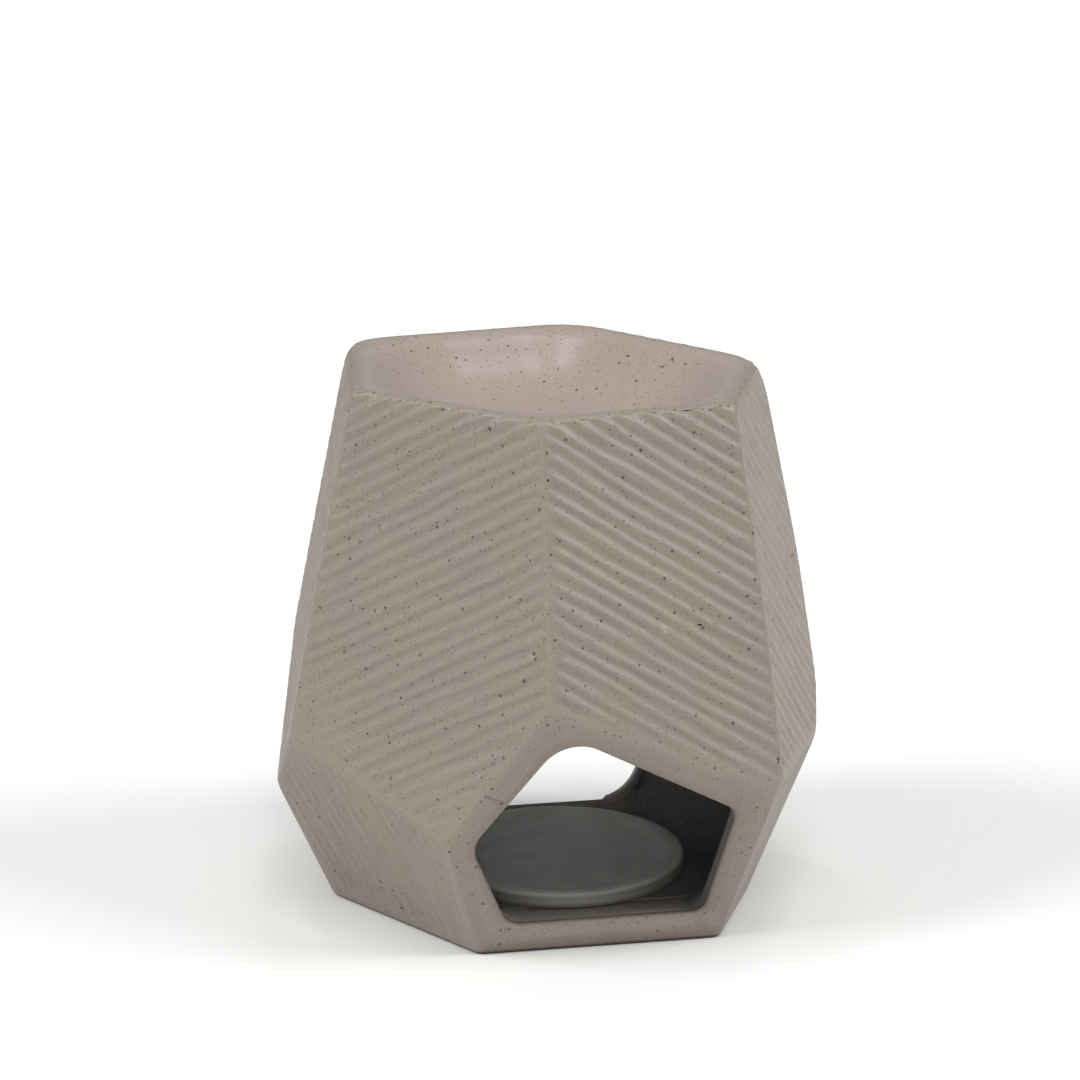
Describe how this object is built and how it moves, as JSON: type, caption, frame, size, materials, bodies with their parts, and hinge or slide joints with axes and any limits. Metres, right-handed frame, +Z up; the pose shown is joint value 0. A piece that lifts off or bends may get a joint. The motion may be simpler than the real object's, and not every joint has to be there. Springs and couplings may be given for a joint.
{
  "type": "essential oil diffuser",
  "caption": "Faceted stoneware oil burner: a ribbed six-sided wall with a shallow dish on top and a chamber below for a tealight, open at front and back.",
  "frame": {"origin": "on the table, under the middle of the body's bounding box", "axes": "+Z up; the front opening faces -Y and the back opening faces +Y; +X is to the right seen from the front"},
  "size_m": [0.1025, 0.0968, 0.1],
  "materials": {
    "glazed_wall": "matte speckled glaze over ribbed stoneware",
    "glazed_dish": "satin speckled glaze",
    "bare_clay": "unglazed dark grey stoneware"
  },
  "bodies": {
    "root": {"body_shell": "glazed_wall", "oil_dish": "glazed_dish", "chamber_floor": "bare_clay", "tealight_seat": "bare_clay"}
  },
  "joints": []
}
